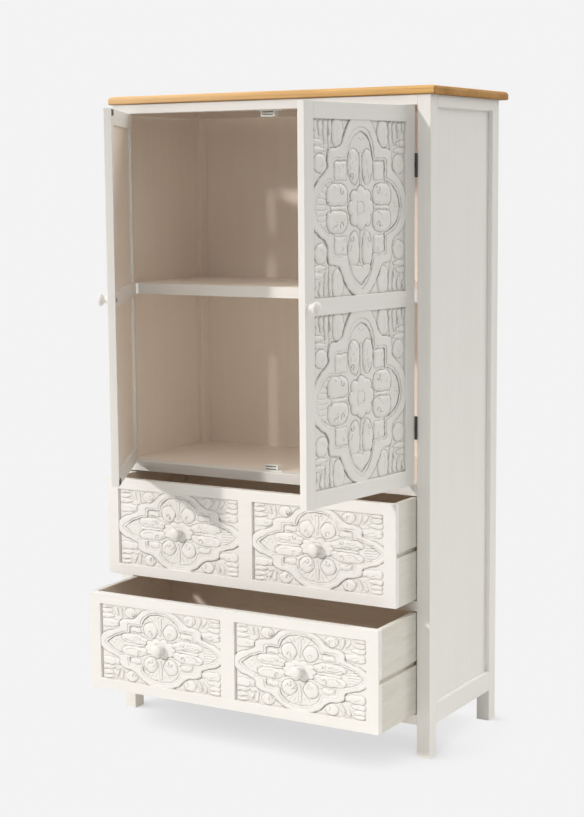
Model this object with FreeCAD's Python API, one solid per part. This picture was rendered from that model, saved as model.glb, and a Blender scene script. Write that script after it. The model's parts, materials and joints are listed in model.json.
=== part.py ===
import FreeCAD, Part
import math
import os

os.makedirs("parts", exist_ok=True)

# A tall cupboard with a wooden top, two carved doors over one shelf, and two carved drawers.
# Frame: origin on the floor, midway between the outer faces of the four posts. +X to the right, +Y to the back,
# +Z up. The doors and drawers are made shut and then moved to where they stand in the photograph.

# Carcase
carcase_width = 780.0
carcase_depth = 336.0
carcase_height = 1370.0
post_width = 30.0
post_depth = 33.0
foot_height = 70.0

# Wooden top
top_thickness = 18.0
top_side_overhang = 10.0
top_front_overhang = 5.0
top_back_overhang = 30.0
top_corner_radius = 4.0
top_upper_edge_radius = 6.0
top_lower_edge_radius = 3.0

# Front rails and the openings between them
bottom_rail_height = 22.0
drawer_opening_height = 221.0
divider_rail_height = 22.0
middle_rail_height = 22.0
front_top_rail_height = 20.0

# Sides and back
side_rail_thickness = 22.0
side_top_rail_height = 24.0
side_bottom_rail_height = 43.0
side_panel_recess = 9.0
side_panel_thickness = 8.0
back_panel_thickness = 5.0
back_rail_height = 24.0

# Floor of the door compartment, and its shelf
floor_thickness = 12.0
shelf_thickness = 24.0
shelf_height_over_floor = 375.0
shelf_setback = 20.0

# Doors
door_thickness = 16.0
door_hinge_gap = 2.0
door_end_gap = 2.0
door_meeting_gap = 2.0
door_stile_width = 29.0
door_rail_height = 32.0
door_panel_recess = 1.5
door_panel_thickness = 9.0
left_door_open_angle = 61.0
right_door_open_angle = 81.5

# Butt hinges, with the knuckle in front of the gap between door and post
hinge_height = 48.0
hinge_end_distance = 94.0
hinge_leaf_thickness = 0.8
hinge_leaf_depth = 14.0
hinge_knuckle_radius = 2.5
hinge_corner_clearance = 0.4
hinge_knuckle_gap = 0.4
hinge_pin_radius = 1.2
hinge_pin_clearance = 0.05
hinge_barrel_count = 3

# Magnetic catches in the middle of the door opening, and their strike plates
catch_body_width = 34.0
catch_body_depth = 15.0
catch_body_height = 14.0
catch_ear_length = 9.0
catch_ear_thickness = 2.5
catch_slot_length = 27.0
catch_slot_height = 2.2
catch_slot_depth = 1.5
catch_slot_spacing = 6.0
catch_air_gap = 0.3
strike_width = 26.0
strike_height = 12.0
strike_thickness = 1.2
strike_edge_distance = 2.0

# Knobs and their screws
knob_head_radius = 13.5
knob_head_length = 12.5
knob_length = 22.0
knob_neck_radius = 7.0
knob_foot_radius = 9.5
knob_foot_length = 3.0
knob_dome_height = 6.5
knob_belly_radius = 11.4
knob_belly_rise = 1.7
screw_radius = 2.0
screw_clearance = 0.05
screw_head_radius = 4.2
screw_head_height = 2.2
screw_depth_in_knob = 10.0

# Drawers
drawer_side_gap = 2.0
drawer_end_gap = 3.0
drawer_length = 306.0
drawer_front_thickness = 16.0
drawer_side_thickness = 12.0
drawer_back_thickness = 12.0
drawer_bottom_thickness = 5.0
drawer_bottom_rise = 8.0
drawer_stile_width = 28.0
drawer_middle_stile_width = 34.0
drawer_rail_height = 23.5
drawer_panel_recess = 1.5
drawer_panel_thickness = 9.0
upper_drawer_pull = 92.0
lower_drawer_pull = 168.0

# Runners on the posts, in grooves along the drawer sides
groove_height = 10.0
groove_depth = 6.5
groove_front_distance = 5.0
runner_clearance = 0.3
runner_end_clearance = 0.5
runner_front_distance = 8.0
runner_back_distance = 6.0

# Amount by which a cutting tool runs past the face it cuts
cut_overrun = 1.0

# Places that follow from the sizes
half_width = carcase_width / 2
front_y = -carcase_depth / 2
back_y = carcase_depth / 2
post_inner_x = half_width - post_width
front_post_back_y = front_y + post_depth
back_post_front_y = back_y - post_depth
back_panel_front_y = back_y - back_panel_thickness
panel_outer_x = half_width - side_panel_recess
panel_inner_x = panel_outer_x - side_panel_thickness

lower_opening_z = foot_height + bottom_rail_height
divider_z = lower_opening_z + drawer_opening_height
upper_opening_z = divider_z + divider_rail_height
middle_rail_z = upper_opening_z + drawer_opening_height
floor_z = middle_rail_z + middle_rail_height
opening_top_z = carcase_height - front_top_rail_height
shelf_z = floor_z + shelf_height_over_floor

door_width = post_inner_x - door_hinge_gap - door_meeting_gap / 2
door_bottom_z = floor_z + door_end_gap
door_top_z = opening_top_z - door_end_gap
door_hinge_x = post_inner_x - door_hinge_gap
door_back_y = front_y + door_thickness
hinge_x = post_inner_x - door_hinge_gap / 2
hinge_y = front_y - hinge_knuckle_radius - hinge_corner_clearance / 2


def box(x0, x1, y0, y1, z0, z1):
    return Part.makeBox(x1 - x0, y1 - y0, z1 - z0, FreeCAD.Vector(x0, y0, z0))


def rod(radius, start, length, direction):
    return Part.makeCylinder(radius, length, start, direction)


def mirrored(shape):
    # the same piece on the other side of the cupboard's middle plane
    return shape.mirror(FreeCAD.Vector(0, 0, 0), FreeCAD.Vector(1, 0, 0))


def save(name, shape):
    shape.exportStep("parts/" + name + ".step")


def save_pair(name, shape):
    # shape is the right-hand piece
    save("right_" + name, shape)
    save("left_" + name, mirrored(shape))


# The wooden top


def edges_where(shape, test):
    return [edge for edge in shape.Edges if test(edge.BoundBox)]


def top_board():
    x = half_width + top_side_overhang
    z = carcase_height + top_thickness
    board = box(-x, x, front_y - top_front_overhang, back_y + top_back_overhang, carcase_height, z)
    middle_z = carcase_height + top_thickness / 2
    uprights = edges_where(board, lambda b: b.ZMin < middle_z < b.ZMax)
    board = board.makeFillet(top_corner_radius, uprights)
    upper = edges_where(board, lambda b: b.ZMin > middle_z)
    board = board.makeFillet(top_upper_edge_radius, upper)
    lower = edges_where(board, lambda b: b.ZMax < middle_z)
    return board.makeFillet(top_lower_edge_radius, lower)


save("top_board", top_board())

# Posts, sides and back

save_pair("front_post", box(post_inner_x, half_width, front_y, front_post_back_y, 0, carcase_height))
save_pair("back_post", box(post_inner_x, half_width, back_post_front_y, back_y, 0, carcase_height))


def side_rail(z0, z1):
    return box(half_width - side_rail_thickness, half_width, front_post_back_y, back_post_front_y, z0, z1)


side_bottom_rail_top = foot_height + side_bottom_rail_height
side_top_rail_bottom = carcase_height - side_top_rail_height
save_pair("side_bottom_rail", side_rail(foot_height, side_bottom_rail_top))
save_pair("side_top_rail", side_rail(side_top_rail_bottom, carcase_height))
save_pair("side_panel", box(panel_inner_x, panel_outer_x, front_post_back_y, back_post_front_y,
                            side_bottom_rail_top, side_top_rail_bottom))
save("back_panel", box(-post_inner_x, post_inner_x, back_panel_front_y, back_y, foot_height, carcase_height))
save("back_top_rail", box(-post_inner_x, post_inner_x, back_post_front_y, back_panel_front_y,
                          carcase_height - back_rail_height, carcase_height))

# Front rails


def front_rail(z0, height):
    return box(-post_inner_x, post_inner_x, front_y, front_post_back_y, z0, z0 + height)


save("front_bottom_rail", front_rail(foot_height, bottom_rail_height))
save("drawer_divider_rail", front_rail(divider_z, divider_rail_height))
save("front_middle_rail", front_rail(middle_rail_z, middle_rail_height))
save("front_top_rail", front_rail(opening_top_z, front_top_rail_height))

# Floor of the door compartment and the shelf, both notched round the posts


def notched_board(y0, z0, z1):
    between_posts = box(-post_inner_x, post_inner_x, y0, back_panel_front_y, z0, z1)
    between_panels = box(-panel_inner_x, panel_inner_x, front_post_back_y, back_post_front_y, z0, z1)
    return between_posts.fuse(between_panels).removeSplitter()


save("compartment_floor", notched_board(front_post_back_y, floor_z - floor_thickness, floor_z))
save("middle_shelf", notched_board(front_y + shelf_setback, shelf_z, shelf_z + shelf_thickness))

# Drawers, made shut and pulled out along -Y


def drawer_z(opening_z):
    return opening_z + drawer_end_gap


drawer_height = drawer_opening_height - drawer_end_gap - drawer_end_gap
drawer_outer_x = post_inner_x - drawer_side_gap
drawer_box_y = front_y + drawer_front_thickness
drawer_end_y = front_y + drawer_length
drawer_panel_outer_x = drawer_outer_x - drawer_stile_width
drawer_panel_inner_x = drawer_middle_stile_width / 2
drawer_knob_x = (drawer_panel_outer_x + drawer_panel_inner_x) / 2


def groove(z):
    # the runner's groove on the right-hand side, from just behind the front face and out of the back
    middle = z + drawer_height / 2
    return box(drawer_outer_x - groove_depth, drawer_outer_x + cut_overrun, front_y + groove_front_distance,
               drawer_end_y + cut_overrun, middle - groove_height / 2, middle + groove_height / 2)


def drawer_window(z, recess, thickness):
    return box(drawer_panel_inner_x, drawer_panel_outer_x, front_y + recess, front_y + recess + thickness,
               z + drawer_rail_height, z + drawer_height - drawer_rail_height)


def drawer_front_frame(z):
    frame = box(-drawer_outer_x, drawer_outer_x, front_y, drawer_box_y, z, z + drawer_height)
    window = drawer_window(z, -cut_overrun, drawer_front_thickness + cut_overrun + cut_overrun)
    for tool in (window, mirrored(window), groove(z), mirrored(groove(z))):
        frame = frame.cut(tool)
    return frame


def drawer_side(z):
    side = box(drawer_outer_x - drawer_side_thickness, drawer_outer_x, drawer_box_y, drawer_end_y,
               z, z + drawer_height)
    return side.cut(groove(z))


def knob_profile():
    # half section of a knob that stands on the plane Z = 0 and points up +Z
    belly_z = knob_length - knob_head_length
    rim_z = knob_length - knob_dome_height
    dome_radius = (knob_head_radius**2 + knob_dome_height**2) / (knob_dome_height + knob_dome_height)
    half_angle = math.asin(knob_head_radius / dome_radius) / 2
    dome_centre_z = knob_length - dome_radius
    base = FreeCAD.Vector(0, 0, 0)
    foot = FreeCAD.Vector(knob_foot_radius, 0, 0)
    waist_low = FreeCAD.Vector(knob_neck_radius, 0, knob_foot_length)
    waist_high = FreeCAD.Vector(knob_neck_radius, 0, belly_z)
    belly = FreeCAD.Vector(knob_belly_radius, 0, belly_z + knob_belly_rise)
    rim = FreeCAD.Vector(knob_head_radius, 0, rim_z)
    crown = FreeCAD.Vector(dome_radius * math.sin(half_angle), 0, dome_centre_z + dome_radius * math.cos(half_angle))
    tip = FreeCAD.Vector(0, 0, knob_length)
    edges = [
        Part.makeLine(base, foot),
        Part.makeLine(foot, waist_low),
        Part.makeLine(waist_low, waist_high),
        Part.Arc(waist_high, belly, rim).toShape(),
        Part.Arc(rim, crown, tip).toShape(),
        Part.makeLine(tip, base),
    ]
    return Part.Face(Part.Wire(edges))


def knob(place):
    # a knob that stands on a front face at the given place and points to the front
    turned = knob_profile().revolve(FreeCAD.Vector(0, 0, 0), FreeCAD.Vector(0, 0, 1), 360)
    turned.rotate(FreeCAD.Vector(0, 0, 0), FreeCAD.Vector(1, 0, 0), 90)
    turned.translate(place)
    return turned


def pulled(shape, pull):
    moved = shape.copy()
    moved.translate(FreeCAD.Vector(0, -pull, 0))
    return moved


def save_drawer(name, opening_z, pull):
    z = drawer_z(opening_z)
    window = drawer_window(z, drawer_panel_recess, drawer_panel_thickness)
    side = drawer_side(z)
    inner_x = drawer_outer_x - drawer_side_thickness
    back_front_y = drawer_end_y - drawer_back_thickness
    back = box(-inner_x, inner_x, back_front_y, drawer_end_y, z, z + drawer_height)
    bottom = box(-inner_x, inner_x, drawer_box_y, back_front_y, z + drawer_bottom_rise,
                 z + drawer_bottom_rise + drawer_bottom_thickness)
    right_knob = knob(FreeCAD.Vector(drawer_knob_x, front_y + drawer_panel_recess, z + drawer_height / 2))
    left_knob = knob(FreeCAD.Vector(-drawer_knob_x, front_y + drawer_panel_recess, z + drawer_height / 2))
    pieces = {
        "front_frame": drawer_front_frame(z),
        "right_carved_panel": window,
        "left_carved_panel": mirrored(window),
        "right_side": side,
        "left_side": mirrored(side),
        "back": back,
        "bottom": bottom,
        "knobs": Part.makeCompound([left_knob, right_knob]),
    }
    for piece, shape in pieces.items():
        save(name + "_" + piece, pulled(shape, pull))


save_drawer("upper_drawer", upper_opening_z, upper_drawer_pull)
save_drawer("lower_drawer", lower_opening_z, lower_drawer_pull)


def runner(opening_z):
    middle = drawer_z(opening_z) + drawer_height / 2
    half_height = groove_height / 2 - runner_clearance
    return box(drawer_outer_x - groove_depth + runner_end_clearance, post_inner_x,
               front_y + runner_front_distance, back_y - runner_back_distance,
               middle - half_height, middle + half_height)


runners = [runner(upper_opening_z), runner(lower_opening_z)]
save("drawer_runners", Part.makeCompound(runners + [mirrored(strip) for strip in runners]))

# Doors: the right one is made shut, the left one is its mirror image, and each turns about its own hinge pins


def door_board(x0, x1, z0, z1, recess=0, thickness=door_thickness):
    # x is measured from the hinge edge towards the free edge
    return box(door_hinge_x - x1, door_hinge_x - x0, front_y + recess, front_y + recess + thickness, z0, z1)


door_middle_z = (door_bottom_z + door_top_z) / 2
middle_rail_bottom = door_middle_z - door_rail_height / 2
middle_rail_top = door_middle_z + door_rail_height / 2
inner_stile_x = door_width - door_stile_width
door_knob_x = door_hinge_x - door_width + door_stile_width / 2


def screw_hole():
    start = FreeCAD.Vector(door_knob_x, front_y - screw_depth_in_knob - cut_overrun, door_middle_z)
    length = screw_depth_in_knob + door_thickness + cut_overrun + cut_overrun
    return rod(screw_radius + screw_clearance, start, length, FreeCAD.Vector(0, 1, 0))


def knob_screw():
    start = FreeCAD.Vector(door_knob_x, front_y - screw_depth_in_knob, door_middle_z)
    shank = rod(screw_radius, start, screw_depth_in_knob + door_thickness, FreeCAD.Vector(0, 1, 0))
    head_start = FreeCAD.Vector(door_knob_x, door_back_y, door_middle_z)
    head = rod(screw_head_radius, head_start, screw_head_height, FreeCAD.Vector(0, 1, 0))
    return shank.fuse(head).removeSplitter()


def strike_plate(z):
    free_x = door_hinge_x - door_width + strike_edge_distance
    return box(free_x, free_x + strike_width, door_back_y, door_back_y + strike_thickness, z, z + strike_height)


hinge_centres = [
    door_bottom_z + hinge_end_distance + hinge_height / 2,
    door_top_z - hinge_end_distance - hinge_height / 2,
]


def barrel_spans(centre, own):
    # heights of the barrels that belong to the door's leaf (the odd ones) or to the post's leaf (the even ones)
    pitch = (hinge_height + hinge_knuckle_gap) / hinge_barrel_count
    low = centre - hinge_height / 2
    spans = [(low + i * pitch, low + (i + 1) * pitch - hinge_knuckle_gap) for i in range(hinge_barrel_count)]
    return [span for i, span in enumerate(spans) if (i % 2 == 1) == own]


def hinge_leaf(centre, on_door):
    # a plate in the gap, and tabs that run forward from it to its own barrels
    plate_y = front_y + hinge_corner_clearance
    x0 = door_hinge_x if on_door else post_inner_x - hinge_leaf_thickness
    x1 = x0 + hinge_leaf_thickness
    leaf = box(x0, x1, plate_y, front_y + hinge_leaf_depth, centre - hinge_height / 2, centre + hinge_height / 2)
    for z0, z1 in barrel_spans(centre, on_door):
        leaf = leaf.fuse(box(x0, x1, hinge_y, plate_y + hinge_leaf_thickness, z0, z1))
        leaf = leaf.fuse(rod(hinge_knuckle_radius, FreeCAD.Vector(hinge_x, hinge_y, z0), z1 - z0,
                             FreeCAD.Vector(0, 0, 1)))
    bore_radius = hinge_pin_radius + hinge_pin_clearance if on_door else hinge_pin_radius
    bore_start = FreeCAD.Vector(hinge_x, hinge_y, centre - hinge_height / 2 - cut_overrun)
    bore = rod(bore_radius, bore_start, hinge_height + cut_overrun + cut_overrun, FreeCAD.Vector(0, 0, 1))
    leaf = leaf.cut(bore)
    if on_door:
        return leaf.removeSplitter()
    # the pin is fixed in the post's leaf
    pin_start = FreeCAD.Vector(hinge_x, hinge_y, centre - hinge_height / 2)
    pin = rod(hinge_pin_radius, pin_start, hinge_height, FreeCAD.Vector(0, 0, 1))
    return leaf.fuse(pin).removeSplitter()


def save_door(side, angle):
    free_stile = door_board(inner_stile_x, door_width, door_bottom_z, door_top_z).cut(screw_hole())
    front_knob = knob(FreeCAD.Vector(door_knob_x, front_y, door_middle_z)).cut(screw_hole())
    panel = {"recess": door_panel_recess, "thickness": door_panel_thickness}
    pieces = {
        "hinge_stile": door_board(0, door_stile_width, door_bottom_z, door_top_z),
        "free_stile": free_stile,
        "top_rail": door_board(door_stile_width, inner_stile_x, door_top_z - door_rail_height, door_top_z),
        "middle_rail": door_board(door_stile_width, inner_stile_x, middle_rail_bottom, middle_rail_top),
        "bottom_rail": door_board(door_stile_width, inner_stile_x, door_bottom_z,
                                  door_bottom_z + door_rail_height),
        "upper_carved_panel": door_board(door_stile_width, inner_stile_x, middle_rail_top,
                                         door_top_z - door_rail_height, **panel),
        "lower_carved_panel": door_board(door_stile_width, inner_stile_x, door_bottom_z + door_rail_height,
                                         middle_rail_bottom, **panel),
        "knob": front_knob,
        "knob_screw": knob_screw(),
        "strike_plates": Part.makeCompound([
            strike_plate(door_bottom_z + strike_edge_distance),
            strike_plate(door_top_z - strike_edge_distance - strike_height),
        ]),
        "hinge_leaves": Part.makeCompound([hinge_leaf(centre, True) for centre in hinge_centres]),
    }
    for piece, shape in pieces.items():
        placed = shape if side == "right" else mirrored(shape)
        placed = placed.copy()
        pin_x = hinge_x if side == "right" else -hinge_x
        turn = angle if side == "right" else -angle
        placed.rotate(FreeCAD.Vector(pin_x, hinge_y, 0), FreeCAD.Vector(0, 0, 1), turn)
        save(side + "_door_" + piece, placed)


save_door("left", left_door_open_angle)
save_door("right", right_door_open_angle)

post_leaves = [hinge_leaf(centre, False) for centre in hinge_centres]
save("hinge_post_leaves", Part.makeCompound(post_leaves + [mirrored(leaf) for leaf in post_leaves]))

# Magnetic catches: one under the front top rail, one on the front middle rail


def catch(z0, ear_z0):
    y0 = door_back_y + strike_thickness + catch_air_gap
    half_body = catch_body_width / 2
    half_ears = half_body + catch_ear_length
    body = box(-half_body, half_body, y0, y0 + catch_body_depth, z0, z0 + catch_body_height)
    ears = box(-half_ears, half_ears, y0 + catch_ear_thickness, y0 + catch_body_depth,
               ear_z0, ear_z0 + catch_ear_thickness)
    body = body.fuse(ears).removeSplitter()
    middle = z0 + catch_body_height / 2
    for slot_z in (middle - catch_slot_spacing / 2, middle + catch_slot_spacing / 2):
        slot = box(-catch_slot_length / 2, catch_slot_length / 2, y0 - cut_overrun, y0 + catch_slot_depth,
                   slot_z - catch_slot_height / 2, slot_z + catch_slot_height / 2)
        body = body.cut(slot)
    return body


save("magnetic_catches", Part.makeCompound([
    catch(floor_z, floor_z),
    catch(opening_top_z - catch_body_height, opening_top_z - catch_ear_thickness),
]))
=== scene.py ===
# %% [markdown]
# # A white cupboard with carved doors and drawers
#
# This lesson dresses the solid model of a tall cupboard. The carcase, two doors and two drawers already
# have their sizes and joints in the imported model, which is the frame. Each step below makes one real thing,
# such as a board, a knob or a carved panel, in the place that the frame gives it, and fastens it to the
# body that it moves with.
#
# ## Loading the frame
#
# The frame is loaded first, with tools that measure the box of a CAD node and of the shown pieces. The
# finished model must not grow beyond it.

# %% Load the frame
import json
import math

import bpy
import numpy as np
from mathutils import Matrix, Vector

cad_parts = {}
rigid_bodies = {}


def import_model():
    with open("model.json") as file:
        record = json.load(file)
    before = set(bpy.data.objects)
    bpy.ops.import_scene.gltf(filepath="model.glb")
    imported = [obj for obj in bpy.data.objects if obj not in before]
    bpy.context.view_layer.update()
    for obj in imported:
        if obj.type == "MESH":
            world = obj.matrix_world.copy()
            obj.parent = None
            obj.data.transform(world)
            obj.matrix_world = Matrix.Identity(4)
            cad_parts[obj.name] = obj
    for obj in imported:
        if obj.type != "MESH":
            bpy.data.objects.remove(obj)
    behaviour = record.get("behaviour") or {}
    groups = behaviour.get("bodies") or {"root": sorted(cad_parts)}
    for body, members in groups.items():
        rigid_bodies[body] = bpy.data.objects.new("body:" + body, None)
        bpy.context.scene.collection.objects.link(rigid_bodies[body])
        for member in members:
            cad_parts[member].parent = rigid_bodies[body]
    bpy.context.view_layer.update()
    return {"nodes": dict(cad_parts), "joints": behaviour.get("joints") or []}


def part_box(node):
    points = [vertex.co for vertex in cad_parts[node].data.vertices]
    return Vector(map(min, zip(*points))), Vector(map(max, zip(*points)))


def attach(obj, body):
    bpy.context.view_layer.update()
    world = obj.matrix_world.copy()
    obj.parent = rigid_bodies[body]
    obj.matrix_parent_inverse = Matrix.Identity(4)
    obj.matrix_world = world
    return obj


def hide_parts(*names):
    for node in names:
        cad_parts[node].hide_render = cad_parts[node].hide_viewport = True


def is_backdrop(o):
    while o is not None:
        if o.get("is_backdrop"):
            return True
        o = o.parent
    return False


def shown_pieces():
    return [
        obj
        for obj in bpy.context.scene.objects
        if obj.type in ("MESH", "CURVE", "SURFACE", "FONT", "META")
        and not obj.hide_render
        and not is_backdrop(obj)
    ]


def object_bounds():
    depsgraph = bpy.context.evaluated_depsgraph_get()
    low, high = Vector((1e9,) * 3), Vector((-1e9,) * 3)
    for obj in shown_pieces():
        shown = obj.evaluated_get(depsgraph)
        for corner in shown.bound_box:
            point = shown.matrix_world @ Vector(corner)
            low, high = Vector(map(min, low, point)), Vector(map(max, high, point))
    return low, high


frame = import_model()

MM = 0.001

# %% [markdown]
# ## The joints as measures
#
# The photograph shows the doors ajar, and the frame has them so. A door is easier to make shut, square to
# the axes, and to turn about its hinge pins afterwards. The joints say where the pins are and how far each
# door stands open: the lower end of a joint's range is where the door is shut.

# %% Read the hinge pins and the angles from the joints
HINGES = {}
for joint in frame["joints"]:
    if joint["type"] == "hinge":
        opened = -joint["axis"][2] * joint["range_deg"][0]
        HINGES[joint["child"]] = (Vector(joint["pos_m"]), math.radians(opened))
        print(joint["child"], "stands open by", opened, "degrees about the upright axis")


def turned(body):
    """The turn from shut to where the door stands. Other bodies need none."""
    if body not in HINGES:
        return Matrix.Identity(4)
    pin, angle = HINGES[body]
    return Matrix.Translation(pin) @ Matrix.Rotation(angle, 4, "Z") @ Matrix.Translation(-pin)


def shut_box(node, body):
    """Lowest and highest corner of a CAD node with its door shut."""
    back = turned(body).inverted()
    points = np.array([back @ v.co for v in frame["nodes"][node].data.vertices])
    return Vector(points.min(0)), Vector(points.max(0))


# %% [markdown]
# ## Tools for boards
#
# Nearly everything here is a sawn board. A board could be a plain box, but real boards have edges that are
# eased with sandpaper, and these catch the light. So a cube is added at the board's size and place, and its
# long edges are bevelled. The ends stay sharp, because they butt against the next board and the paint hides
# the joint.
#
# Each bevel has two rows of faces. Its middle line gets the value 1 in an attribute named edge, which the
# paint reads to thin out where hands and cloths have rubbed it.

# %% Helpers that add and bevel a board
EASED = 0.8 * MM
SHARP = 0.7
WELD = 0.01 * MM
POINTS, EDGES = (True, False, False), (False, True, False)
PLAIN, BEVELLED = 0, 1


def deselect():
    bpy.ops.object.select_all(action="DESELECT")


def only(piece):
    deselect()
    piece.select_set(True)
    bpy.context.view_layer.objects.active = piece


def to_edit(piece, modes=EDGES):
    only(piece)
    bpy.context.tool_settings.mesh_select_mode = modes
    bpy.ops.object.mode_set(mode="EDIT")


def to_object():
    bpy.ops.object.mode_set(mode="OBJECT")


def new_object(name, data):
    made = bpy.data.objects.new(name, data)
    bpy.context.scene.collection.objects.link(made)
    return made


def write_values(mesh, name, values):
    """Keeps one number for each point of the mesh in an attribute."""
    mesh.attributes.new(name, "FLOAT", "POINT").data.foreach_set("value", values.astype(np.float32))


def pick_edges(mesh, test):
    """Selects the sharp edges whose two ends pass the test."""
    normals = {}
    for face in mesh.polygons:
        for key in face.edge_keys:
            normals.setdefault(key, []).append(face.normal)
    for item in (*mesh.vertices, *mesh.edges, *mesh.polygons):
        item.select = False
    for edge in mesh.edges:
        beside = normals.get(edge.key, [])
        if len(beside) == 2 and beside[0].dot(beside[1]) < SHARP:
            edge.select = test(*(mesh.vertices[i].co for i in edge.vertices))


def ease(piece, test=lambda a, b: True, width=EASED):
    """Bevels the chosen edges and writes 1 on the middle line of each bevel into the attribute edge."""
    mesh = piece.data
    mesh.materials.clear()
    # two empty slots, so that the bevel can mark its faces with the second
    for _ in (PLAIN, BEVELLED):
        mesh.materials.append(None)
    pick_edges(mesh, test)
    to_edit(piece)
    bpy.ops.mesh.bevel(
        offset=width, segments=2, profile=0.5, affect="EDGES", clamp_overlap=True, material=BEVELLED
    )
    to_object()
    flat, bevelled = set(), set()
    for face in mesh.polygons:
        (bevelled if face.material_index == BEVELLED else flat).update(face.vertices)
        face.material_index = PLAIN
    values = np.zeros(len(mesh.vertices))
    values[sorted(bevelled - flat)] = 1
    write_values(mesh, "edge", values)


def cube(name, low, high):
    deselect()
    bpy.ops.mesh.primitive_cube_add(size=1, location=(low + high) / 2)
    piece = bpy.context.object
    piece.name = piece.data.name = name
    piece.scale = high - low
    bpy.ops.object.transform_apply(location=True, rotation=True, scale=True)
    return piece


def board(name, low, high, width=EASED):
    """A board with its long edges eased."""
    piece = cube(name, low, high)
    size = high - low
    along = max(range(3), key=lambda k: size[k])
    ease(piece, lambda a, b: abs(a[along] - b[along]) > size[along] / 2, width)
    return piece


def cad_copy(node, body):
    """A copy of a CAD node with its door shut, its triangles joined to faces and its edges eased."""
    mesh = frame["nodes"][node].data.copy()
    mesh.transform(turned(body).inverted())
    mesh.name = node + "_board"
    piece = new_object(mesh.name, mesh)
    to_edit(piece, POINTS)
    bpy.ops.mesh.select_all(action="SELECT")
    bpy.ops.mesh.remove_doubles(threshold=WELD)
    bpy.ops.mesh.dissolve_limited(angle_limit=math.radians(1))
    to_object()
    for face in mesh.polygons:
        face.material_index = PLAIN
    ease(piece)
    return piece


def twin_of(piece, name, move):
    """A copy of a piece with its points moved by a matrix."""
    mesh = piece.data.copy()
    mesh.name = name
    mesh.transform(move)
    return new_object(name, mesh)


def fasten(piece, body, slot, *nodes):
    """Turns a piece from shut to where its body stands, to ride there in place of its CAD nodes."""
    piece.matrix_world = turned(body)
    only(piece)
    bpy.ops.object.transform_apply(location=True, rotation=True, scale=True)
    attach(piece, body)
    if nodes:
        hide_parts(*nodes)
    return piece


def dress(piece, *materials, choose=None):
    """Gives a piece its materials. choose(normal, centre) says which one a face of the shut piece gets."""
    piece.data.materials.clear()
    for material in materials:
        piece.data.materials.append(material)
    for face in piece.data.polygons:
        face.material_index = choose(face.normal, face.center) if choose else 0
    return piece


print("edges are eased by", EASED / MM, "mm")

# %% [markdown]
# ## Finishes
#
# Every finish is built from nodes, with no picture. Three effects are needed in several materials, so each
# is a node group, made once: the marks that a brush leaves in paint, the rubbed edge, and the figure of
# wood. A group only puts out values and masks. Each material mixes its own colours with them.
#
# The patterns read Object coordinates, which are metres here, because every piece keeps its place in its
# mesh.

# %% Helpers for node trees


def feed(tree, node, inputs):
    """Gives each named or numbered input its value, or links another node's output to it."""
    for key, value in inputs.items():
        socket = node.inputs[key]
        if isinstance(value, bpy.types.NodeSocket):
            tree.links.new(value, socket)
        else:
            socket.default_value = (*value, 1) if socket.type == "RGBA" else value


def add_node(tree, kind, inputs):
    node = tree.nodes.new("ShaderNode" + kind)
    feed(tree, node, inputs)
    return node


def math_node(tree, operation, first, second=None, clamp=False):
    inputs = {0: first} if second is None else {0: first, 1: second}
    node = add_node(tree, "Math", inputs)
    node.operation = operation
    node.use_clamp = clamp
    return node.outputs[0]


def times(tree, first, second):
    return math_node(tree, "MULTIPLY", first, second)


def scaled(tree, vector, factor):
    node = add_node(tree, "VectorMath", {0: vector, 1: factor})
    node.operation = "MULTIPLY"
    return node.outputs[0]


def axis(tree, place, letter):
    return add_node(tree, "SeparateXYZ", {0: place}).outputs[letter]


def noise(tree, vector, scale, detail=3.0, roughness=0.55, distortion=0.0):
    inputs = {"Vector": vector, "Scale": scale, "Detail": detail}
    node = add_node(tree, "TexNoise", {**inputs, "Roughness": roughness, "Distortion": distortion})
    return node.outputs["Fac"]


def remap(tree, value, low, high, to_low=0.0, to_high=1.0):
    inputs = {"Value": value, "From Min": low, "From Max": high, "To Min": to_low, "To Max": to_high}
    return add_node(tree, "MapRange", inputs).outputs["Result"]


def mixed(tree, factor, first, second):
    node = tree.nodes.new("ShaderNodeMix")
    node.data_type = "RGBA"
    colours = [i for i, socket in enumerate(node.inputs) if socket.type == "RGBA"]
    feed(tree, node, {0: factor, colours[0]: first, colours[1]: second})
    return next(socket for socket in node.outputs if socket.type == "RGBA")


def attribute(tree, name):
    node = tree.nodes.new("ShaderNodeAttribute")
    node.attribute_name = name
    return node.outputs["Fac"]


def new_group(name, inputs, outputs):
    """An empty group. Its inputs are numbers where a number is given, and vectors otherwise."""
    tree = bpy.data.node_groups.new(name, "ShaderNodeTree")
    for socket, value in inputs.items():
        kind = "NodeSocketFloat" if isinstance(value, float) else "NodeSocketVector"
        item = tree.interface.new_socket(name=socket, in_out="INPUT", socket_type=kind)
        if value is not None:
            item.default_value = value
    for socket in outputs:
        tree.interface.new_socket(name=socket, in_out="OUTPUT", socket_type="NodeSocketFloat")
    return tree, tree.nodes.new("NodeGroupInput").outputs, tree.nodes.new("NodeGroupOutput")


# %% [markdown]
# ### Brush marks, rubbed edges and wood figure
#
# Brush marks run along a board, so the noise is stretched by a vector that each material gives. A rubbed
# edge is the edge attribute broken up by noise, since no edge wears evenly. Wood figure is slow bands
# across the grain with fine pores along it.

# %% Build the three groups
BRUSH, given, result = new_group(
    "brush_marks", {"Vector": None, "Stretch": (60, 60, 3)}, ["Streak", "Cloud", "Height"]
)
streak = noise(BRUSH, scaled(BRUSH, given["Vector"], given["Stretch"]), 1.0, 5.0, 0.62)
cloud = noise(BRUSH, given["Vector"], 7.0, 3.0)
height = math_node(BRUSH, "ADD", streak, times(BRUSH, cloud, 0.4))
feed(BRUSH, result, {"Streak": streak, "Cloud": cloud, "Height": height})

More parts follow.
